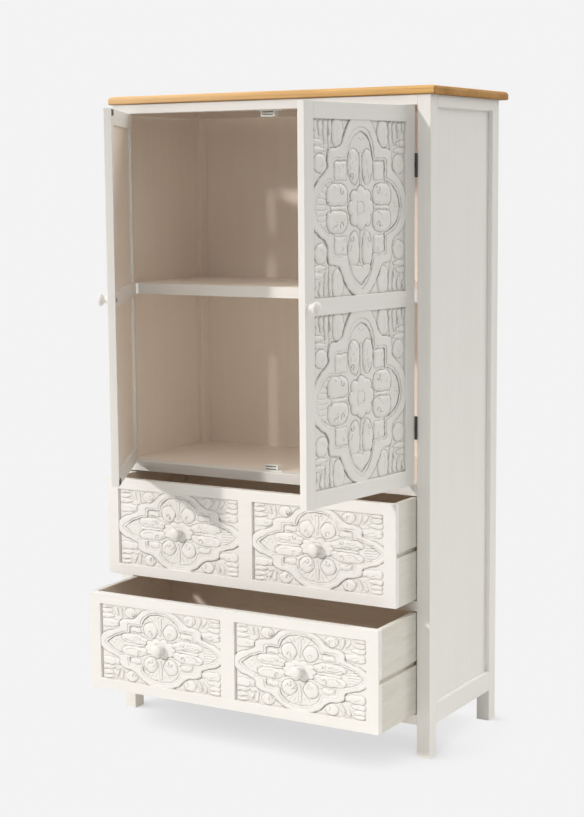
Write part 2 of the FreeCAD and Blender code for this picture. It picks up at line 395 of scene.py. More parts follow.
RUBBED, given, result = new_group("rubbed_edge", {"Vector": None, "Edge": 0.0, "Amount": 0.5}, ["Mask"])
patches = remap(RUBBED, noise(RUBBED, given["Vector"], 38.0, 4.0, 0.65), 0.42, 0.68)
worn = times(RUBBED, patches, given["Edge"])
feed(RUBBED, result, {"Mask": times(RUBBED, worn, given["Amount"])})

FIGURE, given, result = new_group(
    "wood_figure", {"Vector": None, "Along": (1.1, 16, 16)}, ["Bands", "Pores", "Height"]
)
stretched = scaled(FIGURE, given["Vector"], given["Along"])
bands = noise(FIGURE, stretched, 1.6, 4.0, 0.6, 1.4)
fine = noise(FIGURE, scaled(FIGURE, stretched, (4.5, 17, 17)), 1.0, 3.0, 0.6)
pores = remap(FIGURE, fine, 0.50, 0.72)
height = math_node(FIGURE, "SUBTRACT", bands, times(FIGURE, pores, 0.6))
feed(FIGURE, result, {"Bands": bands, "Pores": pores, "Height": height})
print("groups:", sorted(g.name for g in bpy.data.node_groups))

# %% [markdown]
# ### Painted wood
#
# The white is a warm satin paint over wood. It is a pale colour that wanders very slightly, thinner on the
# edges, with shallow brush marks in the bump. Upright and level boards only differ in the way that the
# brush went, so one function makes both. The same function makes the beige brown paint of the inside.
#
# The posts belong to both: they are beige inside the compartment and white beside the side panels and below
# the back panel. So their inside paint gets a shell, the width and the height at which it gives way to
# white.

# %% Make the paints
BLEND = 0.3 * MM
UPRIGHT, LEVEL = (90, 90, 2.5), (3, 3, 110)
WHITE = (0.872, 0.858, 0.832)
WHITE_DEEP = (0.842, 0.824, 0.792)
UNDERCOAT = (0.60, 0.54, 0.45)
BEIGE = (0.942, 0.853, 0.764)
BEIGE_DEEP = (0.912, 0.818, 0.727)
WHITES = (WHITE, WHITE_DEEP, UNDERCOAT)
BEIGES = (BEIGE, BEIGE_DEEP, BEIGE_DEEP)
INSIDE_RUB, INSIDE_GLOSS = 0.3, (0.32, 0.46)


def start_material(name):
    material = bpy.data.materials.new(name)
    material.use_nodes = True
    tree = material.node_tree
    place = tree.nodes.new("ShaderNodeTexCoord").outputs["Object"]
    return material, tree, tree.nodes["Principled BSDF"], place


def use_group(tree, group, vector, **values):
    node = tree.nodes.new("ShaderNodeGroup")
    node.node_tree = group
    feed(tree, node, {"Vector": vector, **values})
    return node.outputs


def surface(tree, shader, colour, gloss_mask, gloss, height, relief):
    """Sets a finish's colour, its roughness between the two values of gloss, and its small heights."""
    bump = add_node(tree, "Bump", {"Strength": 1.0, "Distance": relief, "Height": height})
    roughness = remap(tree, gloss_mask, 0.3, 0.7, *gloss)
    feed(tree, shader, {"Base Color": colour, "Roughness": roughness, "Normal": bump.outputs["Normal"]})


def paint(name, colours, stretch, rub=0.5, gloss=(0.38, 0.55), relief=0.12 * MM, shell=None):
    material, tree, shader, place = start_material(name)
    pale, deep, under = colours
    marks = use_group(tree, BRUSH, place, Stretch=stretch)
    most = times(tree, marks["Streak"], 0.6)
    tone = math_node(tree, "ADD", most, times(tree, marks["Cloud"], 0.4))
    colour = mixed(tree, remap(tree, tone, 0.38, 0.66), deep, pale)
    rubbed = use_group(tree, RUBBED, place, Edge=attribute(tree, "edge"), Amount=rub)
    colour = mixed(tree, rubbed["Mask"], colour, under)
    if shell:
        wide, low = shell
        sideways = math_node(tree, "ABSOLUTE", axis(tree, place, "X"))
        outside = remap(tree, sideways, wide, wide + BLEND)
        below = remap(tree, axis(tree, place, "Z"), low, low + BLEND, 1.0, 0.0)
        colour = mixed(tree, math_node(tree, "MAXIMUM", outside, below), colour, WHITE)
    surface(tree, shader, colour, marks["Cloud"], gloss, marks["Height"], relief)
    return material


white_upright = paint("white_paint_upright", WHITES, UPRIGHT)
white_level = paint("white_paint_level", WHITES, LEVEL)
inside_upright = paint("inside_paint_upright", BEIGES, UPRIGHT, INSIDE_RUB, INSIDE_GLOSS)
inside_level = paint("inside_paint_level", BEIGES, LEVEL, INSIDE_RUB, INSIDE_GLOSS)
panel_middle = sum(corner.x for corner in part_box("right_side_panel")) / 2
shell = (panel_middle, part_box("back_panel")[0].z)
inside_post = paint("inside_paint_post", BEIGES, UPRIGHT, INSIDE_RUB, INSIDE_GLOSS, shell=shell)
paints = (white_upright, white_level, inside_upright, inside_level, inside_post)
print("paints:", [m.name for m in paints])

# %% [markdown]
# ### Bare and thinly painted wood
#
# The top is a light brown wood under a dull varnish: bands of two close browns and darker pores. Towards the
# left end it is painted paler, a painted highlight where the light falls stronger, and its lower edge is
# painted dark, a painted shade under the board. Its ends show end grain, which drinks more varnish and is
# darker. The drawers are thinly painted, so that knots and grain show through the white outside, and plain
# brown inside.

# %% Make the wood finishes
# colours for painted light on the top's front: a painted highlight towards the left end and a painted shade
# along the lower edge
PAINTED_HIGHLIGHT_LEFT = (0.98, 0.68, 0.40)
PAINTED_SHADE_UNDER = (0.20, 0.10, 0.04)


def varnished(name, pale, deep, pore, along, gloss, coat=0.06, shine=0.5, painted_light_and_shade=0.0):
    material, tree, shader, place = start_material(name)
    figure = use_group(tree, FIGURE, place, Along=along)
    colour = mixed(tree, remap(tree, figure["Bands"], 0.36, 0.64), pale, deep)
    colour = mixed(tree, times(tree, figure["Pores"], 0.55), colour, pore)
    if painted_light_and_shade:
        # painted highlight: the front is made paler towards the left end, where the light falls stronger
        painted_highlight_left = remap(tree, axis(tree, place, "X"), -0.3, 0.36, painted_light_and_shade, 0.0)
        colour = mixed(tree, painted_highlight_left, colour, PAINTED_HIGHLIGHT_LEFT)
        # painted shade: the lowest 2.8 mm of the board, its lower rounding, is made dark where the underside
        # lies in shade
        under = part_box("top_board")[0].z
        lowest = remap(tree, axis(tree, place, "Z"), under, under + 2.8 * MM, 0.85, 0.0)
        colour = mixed(tree, lowest, colour, PAINTED_SHADE_UNDER)
    surface(tree, shader, colour, figure["Bands"], gloss, figure["Height"], 0.12 * MM)
    feed(tree, shader, {"Coat Weight": coat, "Coat Roughness": 0.3, "Specular IOR Level": shine})
    return material


top_wood = varnished(
    "top_wood_grain", (0.79, 0.485, 0.185), (0.60, 0.325, 0.10), (0.34, 0.165, 0.05),
    (1.3, 26, 85), (0.62, 0.74), 0.0, 0.22, painted_light_and_shade=0.5,
)
top_end = varnished(
    "top_wood_end", (0.52, 0.27, 0.075), (0.38, 0.185, 0.045), (0.20, 0.09, 0.025),
    (60, 9, 22), (0.55, 0.7), 0.0, 0.2,
)
runner_wood = varnished(
    "runner_wood_grain", (0.58, 0.45, 0.32), (0.47, 0.35, 0.23), (0.30, 0.20, 0.12),
    (16, 1.1, 16), (0.5, 0.65),
)


def drawer_finish(name, pale, deep, knot, along, gloss):
    """Paint thin enough to show the wood's bands and a few knots."""
    material, tree, shader, place = start_material(name)
    figure = use_group(tree, FIGURE, place, Along=along)
    colour = mixed(tree, remap(tree, figure["Bands"], 0.34, 0.66), pale, deep)
    spread = scaled(tree, place, tuple(a * 0.45 + 5 for a in along))
    cells = add_node(tree, "TexVoronoi", {"Scale": 1.0, "Vector": spread})
    eye = remap(tree, cells.outputs["Distance"], 0.04, 0.17, 1.0, 0.0)
    colour = mixed(tree, times(tree, eye, 0.55), colour, knot)
    colour = mixed(tree, times(tree, figure["Pores"], 0.22), colour, knot)
    surface(tree, shader, colour, figure["Bands"], gloss, figure["Height"], 0.15 * MM)
    return material


drawer_white = drawer_finish(
    "drawer_side_paint", (0.735, 0.71, 0.65), (0.685, 0.655, 0.59), (0.50, 0.45, 0.38),
    (12, 1.4, 14), (0.45, 0.6),
)
drawer_brown = drawer_finish(
    "drawer_inside_wood", (0.93, 0.83, 0.73), (0.89, 0.78, 0.67), (0.62, 0.51, 0.40),
    (3, 6, 14), (0.5, 0.65),
)
print("wood finishes:", [m.name for m in (top_wood, top_end, runner_wood, drawer_white, drawer_brown)])

# %% [markdown]
# ### Carved paint
#
# On the carved panels a grey glaze was wiped into the cuts and off the rest, and painted shade is added to
# it, stronger on the walls that face away from the light. The carving writes two attributes on its points:
# cut, which says how much glaze and painted shade lies in the cuts there, and rise, which is the height from
# 0 to 1.
# The glaze and painted shade follow cut, broken by noise. The low ground gets a breath of painted shade, and
# a few specks are worn.

# %% Make the carved paint
PAINTED_LOW_SHADE = (0.55, 0.52, 0.46)
GLAZE_AND_SHADE = (0.115, 0.105, 0.08)
SPECK = (0.33, 0.30, 0.26)

carved_paint, tree, shader, place = start_material("carved_paint_glazed_and_shaded")
marks = use_group(tree, BRUSH, place, Stretch=(40, 40, 40))
colour = mixed(tree, remap(tree, marks["Streak"], 0.36, 0.66), WHITE_DEEP, WHITE)
# painted shade: the low ground, where rise is small, is darkened a little
painted_low_shade = remap(tree, attribute(tree, "rise"), 0.1, 0.7, 0.12, 0.0)
colour = mixed(tree, painted_low_shade, colour, PAINTED_LOW_SHADE)
# the glaze in the cuts, partly real glaze and partly painted shade on the walls that face away from the
# light, broken by noise
broken = remap(tree, noise(tree, place, 48.0, 4.0, 0.65), 0.35, 0.56, 0.2, 1.0)
glaze_and_shade = math_node(tree, "MULTIPLY", attribute(tree, "cut"), broken, clamp=True)
colour = mixed(tree, times(tree, glaze_and_shade, 0.97), colour, GLAZE_AND_SHADE)
specks = remap(tree, noise(tree, place, 260.0, 2.0, 0.5), 0.70, 0.76)
colour = mixed(tree, times(tree, specks, 0.5), colour, SPECK)
surface(tree, shader, colour, marks["Cloud"], (0.42, 0.6), marks["Height"], 0.10 * MM)
print("carved paint nodes:", len(tree.nodes))

# %% [markdown]
# ### Knobs, metal and plastic
#
# The knobs have the frame's paint. The hinges are black enamel, the screws are dull plated steel, the
# strike plates and the catches' poles are darker steel, and the catches are white plastic. Even these small
# things get uneven roughness, because that is what keeps them from looking like plain colour.

# %% Make the small parts' finishes


def small_finish(name, pale, deep, metal, gloss, grain, relief):
    material, tree, shader, place = start_material(name)
    marks = use_group(tree, BRUSH, place, Stretch=grain)
    colour = mixed(tree, remap(tree, marks["Streak"], 0.35, 0.65), deep, pale)
    surface(tree, shader, colour, marks["Streak"], gloss, marks["Height"], relief)
    feed(tree, shader, {"Metallic": metal})
    return material


knob_paint = paint("knob_paint_turned", WHITES, (70, 70, 70), 0.0, (0.32, 0.45), 0.06 * MM)
black_metal = small_finish(
    "black_hinge_enamel", (0.028, 0.027, 0.026), (0.012, 0.012, 0.012), 0.0,
    (0.35, 0.55), (300, 300, 300), 0.05 * MM,
)
steel = small_finish(
    "plated_steel", (0.36, 0.35, 0.33), (0.24, 0.23, 0.22), 1.0, (0.32, 0.5), (700, 700, 60), 0.03 * MM
)
dark_steel = small_finish(
    "pole_steel", (0.10, 0.10, 0.10), (0.05, 0.05, 0.05), 1.0, (0.4, 0.55), (60, 700, 700), 0.03 * MM
)
catch_plastic = small_finish(
    "catch_plastic_moulded", (0.84, 0.84, 0.81), (0.80, 0.80, 0.76), 0.0,
    (0.4, 0.52), (400, 400, 400), 0.04 * MM,
)
print("small finishes:", [m.name for m in (knob_paint, black_metal, steel, dark_steel, catch_plastic)])

# %% [markdown]
# ## The carcase
#
# Four posts, with rails and panels between them. Their outer faces are white and the faces that look
# inwards are beige brown, which a test on each face's direction decides. Each board replaces the CAD node
# that it was measured from.

# %% Make the posts, rails and panels
OUTSIDE, INSIDE = 0, 1
TOWARDS = 0.5
POST_EDGE, PANEL_EDGE = 1.2 * MM, 0.3 * MM
POST_FINISH = (white_upright, inside_post)
PANEL_FINISH = (white_upright, inside_upright)
RAIL_FINISH = (white_level, inside_level)


def faces_inwards(side=0, back=False, front=False):
    """A test that picks the inside finish. side is +1 for a board on the right, which faces left inside."""

    def choose(normal, centre):
        looks_in = (
            (side and normal.x * side < -TOWARDS)
            or (back and normal.y > TOWARDS)
            or (front and normal.y < -TOWARDS)
        )
        return INSIDE if looks_in else OUTSIDE

    return choose


def carcase_board(node, finish, choose=None, width=EASED, slot="white_paint"):
    piece = board(node + "_board", *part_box(node), width)
    dress(piece, *finish, choose=choose)
    return fasten(piece, "carcase", slot, node)


for side, sign in (("left", -1), ("right", 1)):
    carcase_board(side + "_front_post", POST_FINISH, faces_inwards(back=True), POST_EDGE)
    carcase_board(side + "_back_post", POST_FINISH, faces_inwards(side=sign, front=True), POST_EDGE)
    carcase_board(side + "_side_bottom_rail", RAIL_FINISH, faces_inwards(side=sign))
    carcase_board(side + "_side_top_rail", RAIL_FINISH, faces_inwards(side=sign))
    carcase_board(side + "_side_panel", PANEL_FINISH, faces_inwards(side=sign), PANEL_EDGE)
for node in ("front_bottom_rail", "drawer_divider_rail", "front_middle_rail", "front_top_rail"):
    carcase_board(node, RAIL_FINISH, faces_inwards(back=True))
carcase_board("back_top_rail", (inside_level,), slot="inside_paint")
carcase_board("back_panel", (inside_upright,), width=PANEL_EDGE, slot="inside_paint")

# %% [markdown]
# ## The shelf and the floor of the compartment
#
# Both are notched round the posts, so they aren't plain boxes. The CAD outline is copied, cleaned and
# eased. Their front edges are white and the rest is beige brown.

# %% Make the notched boards
for node in ("middle_shelf", "compartment_floor"):
    piece = cad_copy(node, "carcase")
    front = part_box(node)[0].y + 2 * MM
    dress(piece, white_level, inside_level,
          choose=lambda n, c: OUTSIDE if n.y < -TOWARDS and c.y < front else INSIDE)
    fasten(piece, "carcase", "inside_paint", node)
    print(node, "has", len(piece.data.polygons), "faces")

# %% [markdown]
# ## The wooden top
#
# The top is one board with rounded edges, rounder above than below. A cube is bevelled once, with a weight
# on each edge: 8 mm along the upper edges and half of that on the rest, so that the radii meet cleanly at
# the corners. Smooth shading with weighted normals lets the rounding read as round and keeps the large
# faces flat. Its two ends get the end grain.

# %% Make the top
TOP_ROUNDING = 8 * MM
END_GRAIN = 0.6

top_low, top_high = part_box("top_board")
top = cube("top_board_plank", top_low, top_high)
weight = top.data.attributes.new("bevel_weight_edge", "FLOAT", "EDGE")
for edge in top.data.edges:
    upper = all(top.data.vertices[i].co.z > top_high.z - MM for i in edge.vertices)
    weight.data[edge.index].value = 1.0 if upper else 0.5
only(top)
rounding = top.modifiers.new("rounding", "BEVEL")
rounding.limit_method = "WEIGHT"
rounding.width = TOP_ROUNDING
rounding.segments = 5
bpy.ops.object.modifier_apply(modifier="rounding")
dress(top, top_wood, top_end, choose=lambda n, c: INSIDE if abs(n.x) > END_GRAIN else OUTSIDE)
only(top)
bpy.ops.object.shade_smooth()
weighted = top.modifiers.new("weighted", "WEIGHTED_NORMAL")
weighted.weight = 80
bpy.ops.object.modifier_apply(modifier="weighted")
fasten(top, "carcase", "top_wood", "top_board")
print("top:", len(top.data.polygons), "faces")

# %% [markdown]
# ## The doors' frames
#
# Each door is two stiles and three rails. They are made shut, from the CAD boxes turned back to shut, and
# then turned open about the hinge pins with fasten. The frame is white on both faces.

# %% Make the stiles and rails
FRAME_PARTS = {
    "hinge_stile": white_upright, "free_stile": white_upright,
    "top_rail": white_level, "middle_rail": white_level, "bottom_rail": white_level,
}
for body in ("left_door", "right_door"):
    for part, finish in FRAME_PARTS.items():
        node = body + "_" + part
        piece = board(node + "_board", *shut_box(node, body))
        dress(piece, finish)
        fasten(piece, body, "white_paint", node)
print("door boards:", sum("door" in o.name and o.name.endswith("_board") for o in bpy.data.objects))

# %% [markdown]
# ## Carving
#
# The eight panels are carved with a traditional quatrefoil: a rosette in the middle, lobes and scrolls
# round it, a strap that follows the quatrefoil, and leaves in the corners. Boxes and bevels can't give
# that, so the panels are carved as a carver works: the drawing first, then each form cut round and rounded
# over.
#
# The drawing is made of lines in millimetres from the panel's middle, x to the right and z up. outline runs
# a smooth line through given points, and a point written twice makes a corner. finger, disc, rosette
# and curl draw the forms that come back many times.

# %% Drawing helpers


def outline(points, closed=True, steps=6):
    """Runs a smooth line through the points. A point written twice makes a corner."""
    p = np.array(points, float)
    n = len(p)
    line = []
    for i in range(n if closed else n - 1):
        if closed:
            a, b, c, d = p[i - 1], p[i], p[(i + 1) % n], p[(i + 2) % n]
        else:
            a, b, c, d = p[max(i - 1, 0)], p[i], p[i + 1], p[min(i + 2, n - 1)]
        if np.allclose(b, c):
            line.append(b)
            continue
        bend = 2 * a - 5 * b + 4 * c - d
        twist = 3 * b - 3 * c + d - a
        for t in np.arange(steps) / steps:
            line.append(0.5 * (2 * b + (c - a) * t + bend * t**2 + twist * t**3))
    if not closed:
        line.append(p[-1])
    return np.array(line)


def flip(line, x, z):
    """Stretches a line by x and z. A minus mirrors it."""
    p = np.array(line, float) * (x, z)
    return p[::-1] if x * z < 0 else p


def disc(x, z, across, up, points=28):
    a = np.linspace(0, 2 * math.pi, points, endpoint=False)
    return np.c_[x + across * np.cos(a), z + up * np.sin(a)]


def finger(x0, z0, x1, z1, width):
    """A leaf finger that starts narrow at the first point and ends round at the second."""
    a, b = np.array((x0, z0), float), np.array((x1, z1), float)
    length = np.linalg.norm(b - a)
    d = (b - a) / length
    s = np.array((-d[1], d[0])) * width / 2
    rows = [(0, 0.35), (0.35, 0.8), (0.75, 1.0)]
    e = b - d * width / 2
    points = [a + d * length * t + s * k for t, k in rows]
    points += [e + s, e + d * width * 0.37 + s * 0.7, b, e + d * width * 0.37 - s * 0.7, e - s]
    points += [a + d * length * t - s * k for t, k in rows[::-1]]
    return outline(points, steps=4)


def rosette(across, up, petals=8, notch=0.17, points=96):
    """The outline of a flower with round petals."""
    a = np.linspace(0, 2 * math.pi, points, endpoint=False)
    r = 1 - notch + notch * np.abs(np.cos(a * petals / 2)) ** 0.5
    return np.c_[across * r * np.cos(a), up * r * np.sin(a)]


def curl(x, z, radius, start, turns):
    """A spiral line that winds inwards."""
    a = np.linspace(0, turns * 2 * math.pi, 18)
    r = radius * (1 - a / a[-1] * 0.8)
    return np.c_[x + r * np.cos(start + a), z + r * np.sin(start + a)]


print("points in a finger:", len(finger(0, 0, 30, 0, 8)), "and in a rosette:", len(rosette(40, 40)))

# %% [markdown]
# ### Cutting
#
# The panel is a fine grid of heights. stamp cuts round a closed line and rounds the form inside it over to
# its height. score cuts a single line, hook cuts the end of a scroll, and strokes strews short knife marks.
# All of them note where the knife went, for the glaze and painted shade, and a last step makes this stronger,
# as painted shade, on the walls that face away from the light.
#
# The grid's coordinates wander by up to about a millimetre, slowly by SWAY and quickly by TREMOR, so that
# no line is ruler straight, as by hand. The cuts come out a little wider and deeper than the drawing says,
# by WIDER and DEEPER.

# %% The carving as a class
SWAY, TREMOR = 0.8, 0.55
WIDER, DEEPER = 1.15, 1.3
INSET = 0.3
SIDE_REACH, SIDE_DEEP = 4.5, 4.2
END_REACH, END_DEEP = 3.0, 1.6
FAR = 1e9


class Carving:
    """A panel's heights in millimetres over a grid, and how much glaze and painted shade lies in its cuts."""

    def __init__(self, width, height, pitch, ground, right_edge=SIDE_DEEP):
        self.size = (int(round(width / pitch)) + 1, int(round(height / pitch)) + 1)
        x = np.linspace(-width / 2, width / 2, self.size[0])
        z = np.linspace(-height / 2, height / 2, self.size[1])
        gx, gz = np.meshgrid(x, z)
        slow_x = SWAY * np.sin(gz / 17 + 1.3) * np.sin(gx / 23 + 0.4)
        slow_z = SWAY * np.sin(gx / 19 + 2.1) * np.sin(gz / 21 + 0.9)
        self.x = gx + slow_x + TREMOR * np.sin(gz / 3.1 + 2.2 * np.sin(gx / 13))
        self.z = gz + slow_z + TREMOR * np.sin(gx / 3.4 + 2.0 * np.sin(gz / 12))
        self.h = np.full(gx.shape, float(ground))
        self.cut = np.zeros(gx.shape)
        # the ground falls away along the frame, most at the upright edges
        beside = np.clip(1 - (width / 2 - np.abs(gx)) / SIDE_REACH, 0, 1)
        above = np.clip(1 - (height / 2 - np.abs(gz)) / END_REACH, 0, 1)
        most = np.where(gx > 0, right_edge, SIDE_DEEP)
        self.h -= np.maximum(most * np.sqrt(beside), END_DEEP * np.sqrt(above))

    def near(self, line, margin):
        """The grid points in the line's box and margin."""
        lo, hi = line.min(0) - margin, line.max(0) + margin
        return np.nonzero((self.x > lo[0]) & (self.x < hi[0]) & (self.z > lo[1]) & (self.z < hi[1]))

    def distance(self, where, line, closed):
        """Distance to the line. For a closed one it is positive inside and negative outside."""
        x, z = self.x[where], self.z[where]
        best = np.full(x.shape, FAR)
        inside = np.zeros(x.shape, bool)
        ends = zip(line, np.roll(line, -1, 0)) if closed else zip(line[:-1], line[1:])
        for a, b in ends:
            d = b - a
            squared = float(d @ d)
            if squared < 1 / FAR:
                continue
            t = np.clip(((x - a[0]) * d[0] + (z - a[1]) * d[1]) / squared, 0, 1)
            best = np.minimum(best, np.hypot(x - a[0] - t * d[0], z - a[1] - t * d[1]))
            if closed and a[1] != b[1]:
                crosses = (a[1] > z) != (b[1] > z)
                inside ^= crosses & (x < d[0] * (z - a[1]) / d[1] + a[0])
        return np.where(inside, best, -best) if closed else best

    def stamp(self, line, top, rounding, width=1.2, deep=0.9, glaze_and_shade=1.0):
        """Cuts round a closed line and rounds the form inside it over, up to the height top."""
        width, deep = width * WIDER, deep * DEEPER
        where = self.near(line, width + 1.5)
        d = self.distance(where, line, True)
        h = self.h[where]
        t = np.clip(d / rounding, 0, 1)
        foot = np.minimum(h, top) - deep
        raised = foot + (top - foot) * np.sqrt(np.clip(1 - (1 - t) ** 2, 0, 1))
        beside = np.where(d > -width, h - deep * (1 + d / width), h)
        self.h[where] = np.where(d > 0, raised, beside)
        kept = np.where(d > INSET, 0, self.cut[where])
        self.cut[where] = np.maximum(kept, glaze_and_shade * np.exp(-(((d + INSET) / (0.8 * width)) ** 2)))

    def score(self, line, width=1.5, deep=1.0, glaze_and_shade=0.7):
        """Cuts a line, deepest in its middle."""
        where = self.near(line, width + 0.5)
        d = self.distance(where, line, False)
        self.h[where] -= deep * np.clip(1 - d / width, 0, 1)
        self.cut[where] = np.maximum(self.cut[where], glaze_and_shade * np.exp(-((d / 0.85) ** 2)))

    def hook(self, x, z, radius, across, up):
        """The dark hooked end of a scroll. across and up are +1 or -1, which mirror it."""
        self.score(curl(0, 0, radius, 2.2, 0.8) * (across, up) + (x, z), 1.7, 1.5, 1.1)

    def strokes(self, number, seed, x, z, length, slant):
        """Short knife marks, strewn over a part of the panel and its three mirror images."""
        rng = np.random.default_rng(seed)
        for _ in range(number):
            sx, sz = rng.choice((-1, 1)), rng.choice((-1, 1))
            start = np.array((rng.uniform(*x), rng.uniform(*z)))
            turn = math.radians(slant + rng.normal(0, 14))
            reach = rng.uniform(*length)
            along = np.array((math.cos(turn), math.sin(turn)))
            middle = start + reach / 2 * along + rng.normal(0, 0.9, 2)
            mark = np.array((start, middle, start + reach * along)) * (sx, sz)
            self.score(mark, 1.3, 0.7, rng.uniform(0.35, 0.95))

    def glaze_with_painted_shade(self, across, up):
        """The glaze with painted shade: stronger where the smoothed surface rises in the direction across and
        up, on the walls that face away from the light, and weaker where it falls.
        """
        soft = self.h
        for _ in range(3):
            sides = np.roll(soft, 1, 0) + np.roll(soft, -1, 0) + np.roll(soft, 1, 1) + np.roll(soft, -1, 1)
            soft = (soft + sides) / 5
        rise_up, rise_across = np.gradient(soft)
        slope = rise_across * across + rise_up * up
        return self.cut * np.clip(0.55 + 1.8 * slope, 0.2, 1.0)


QUARTERS = [(1, 1), (-1, 1), (1, -1), (-1, -1)]
GROUND, FIELD, TOP = 2.5, 3.0, 5.0
print("cuts are", WIDER, "times as wide and", DEEPER, "times as deep as drawn")

# %% [markdown]
# ### The door panel
#
# The drawing is the same left and right, but not above and below: the upper arch is round and the lower one
# pointed. In the photograph the whole quatrefoil sits about a centimetre towards the door's free side, so
# its left half is drawn a little wider than its right half. The corner leaves are cut first, then the strap
# over them, then the forms inside it, so that each later form lies on the earlier ones as in the wood.

# %% Carve the door panel


def both_sides(right, wide=(0.97, 1.06)):
    """Closes a line drawn from the top middle round the right to the bottom middle."""
    return outline([(x * wide[0], z) for x, z in right] + [(-x * wide[1], z) for x, z in right[-2:0:-1]])


def door_carving(pitch):
    c = Carving(299, 336, pitch, GROUND)
    # each corner: six leaf fingers, a dome with a vein and a round boss with a curl
    for sx, sz in QUARTERS:
        for f in (
            (98, 108, 97, 166, 11), (111, 122, 112, 166, 13), (126, 136, 128, 166, 13),
            (142, 146, 143, 166, 11), (108, 110, 147, 111, 12), (118, 124, 148, 126, 13),
        ):
            c.stamp(flip(finger(*f), sx, sz), 4.1, 5.0, 1.0, 0.7, 0.8)
        dome = [
            (60, 120), (76, 115), (87, 121), (91, 140), (90, 160), (82, 168), (64, 168), (55, 156),
            (54, 138),
        ]
        c.stamp(flip(outline(dome), sx, sz), 4.3, 11, 1.2, 0.9, 1.0)
        c.score(flip(outline([(74, 122), (78, 138), (74, 154)], False), sx, sz), 1.3, 0.6, 0.25)
        c.stamp(disc(126 * sx, 84 * sz, 20.5, 19), 4.6, 10, 1.2, 0.9, 1.0)
        c.score(flip(curl(128, 82, 9, 2.6, 0.45), sx, sz), 1.4, 0.7, 0.35)
    # the strap, then the bead along its inner side and the sunk field inside the bead
    strap = [
        (0, 182), (22, 176), (40, 158), (54, 135), (64, 119), (76, 115), (92, 113), (101, 106), (103, 92),
        (104, 74), (118, 63), (136, 49), (150, 28), (158, 0), (150, -30), (134, -48), (112, -62),
        (104, -72), (103, -90), (100, -103), (88, -108), (70, -112), (60, -128), (44, -150), (24, -166),
        (0, -178),
    ]
    c.stamp(both_sides(strap, (1.0, 1.02)), 4.6, 5.0, 1.9, 1.2)
    bead = [
        (0, 155), (16, 151), (31, 140), (41, 120), (45, 100), (45, 97), (62, 96), (80, 95), (86, 90),
        (87, 76), (86, 56), (86, 56), (104, 52), (124, 38), (135, 18), (138, 0), (134, -20), (121, -38),
        (102, -50), (86, -54), (86, -54), (86, -74), (85, -88), (80, -92), (62, -93), (44, -94), (44, -94),
        (40, -110), (28, -134), (12, -150), (0, -158),
    ]
    c.stamp(both_sides(bead), 4.0, 1.5, 1.0, 0.9, 0.7)
    field = [
        (0, 146), (14, 141), (27, 130), (36, 113), (40, 95), (41, 91), (41, 91), (60, 91), (76, 90),
        (80, 86), (80, 72), (80, 51), (80, 51), (100, 47), (118, 34), (129, 16), (132, 0), (128, -18),
        (116, -34), (99, -45), (80, -49), (80, -49), (80, -70), (80, -82), (76, -87), (58, -88), (40, -89),
        (40, -89), (36, -106), (24, -128), (10, -142), (0, -149), (0, -149),
    ]
    c.stamp(both_sides(field), FIELD, 1.2, 1.6, 1.5)
    # rays in the field's left tip
    for a in np.radians([146, 155, 164, 173, 182, 191, 200, 209]):
        ray = [(108 * math.cos(a), 60 * math.sin(a)), (136 * math.cos(a), 76 * math.sin(a))]
        c.score(np.array(ray), 1.8, 1.2, 0.6)
    # small punched dots
    for x, z in ((114, 2), (110, 9), (110, -8), (1, 130), (-6, 134), (9, 133), (-2, -136), (120, 0)):
        c.score(disc(x, z, 0.7, 0.7, 6), 1.3, 0.9, 0.8)
    # a quarter of the forms round the rosette: an ear, and two lobes with hooks
    ear = [(43, 53), (43, 53), (43, 89), (43, 89), (71, 89), (79, 84), (79, 53), (79, 53)]
    side = [
        (40, 20), (44, 10), (56, 5), (84, 4), (98, 8), (103, 22), (100, 38), (88, 46), (66, 47), (50, 44),
        (41, 34),
    ]
    upright = [
        (19, 44), (28, 50), (36, 62), (40, 80), (39, 98), (33, 109), (22, 113), (11, 108), (5, 96), (4, 80),
        (7, 60), (12, 48),
    ]
    for sx, sz in QUARTERS:
        inner = (0.97 if sx > 0 else -1.05, sz)
        c.stamp(flip(outline(ear), *inner), 4.2, 7.0, 1.0, 0.8, 0.85)
        c.stamp(flip(outline(side), *inner), 4.8, 10, 1.3, 1.1)
        c.stamp(flip(outline(upright), *inner), 4.8, 10, 1.3, 1.1)
        c.hook(57 * inner[0], 31 * sz, 7.5, -sx, sz)
        c.hook(29 * inner[0], 61 * sz, 7.0, sx, -sz)
    # the shield in the lower arch, and four stems from the rosette
    shield = [
        (-33, -112), (-17, -108.5), (0, -112), (17, -108.5), (33, -112), (24, -130), (0, -145), (-24, -130),
    ]
    c.stamp(outline(shield), 3.8, 7, 1.0, 0.8, 0.7)
    for s in (1, -1):
        c.stamp(flip(finger(36, 0, 96, 0, 8), s, 1), 4.1, 4.0, 1.0, 0.8, 0.7)
        c.stamp(flip(finger(0, 36, 0, 106, 8), 1, s), 4.1, 4.0, 1.0, 0.8, 0.7)
    # the rosette, its button and two lines on them
    c.stamp(rosette(42, 43), TOP, 9, 1.4, 1.2)
    c.stamp(disc(-2, 0, 12, 13), TOP, 5, 1.2, 0.8, 0.5)
    c.score(outline([(2, -6), (7, -8), (11, -6)], False), 1.3, 0.7, 0.8)
    c.score(outline([(-12, 14), (-15, 0), (-11, -15)], False), 1.6, 1.0, 1.0)
    # stray knife marks: in the corners, on both kinds of lobe and on the ears
    c.strokes(40, 21, (98, 146), (104, 160), (6, 18), 88)
    c.strokes(26, 22, (44, 100), (4, 46), (4, 10), 30)
    c.strokes(26, 23, (6, 38), (46, 106), (4, 12), 86)
    c.strokes(16, 24, (45, 78), (54, 88), (4, 9), 80)
    return c


door_cut = door_carving(1.05)
heights = [round(float(h), 2) for h in (door_cut.h.min(), door_cut.h.max())]
print("door panel grid:", door_cut.size, "lowest and highest:", heights)

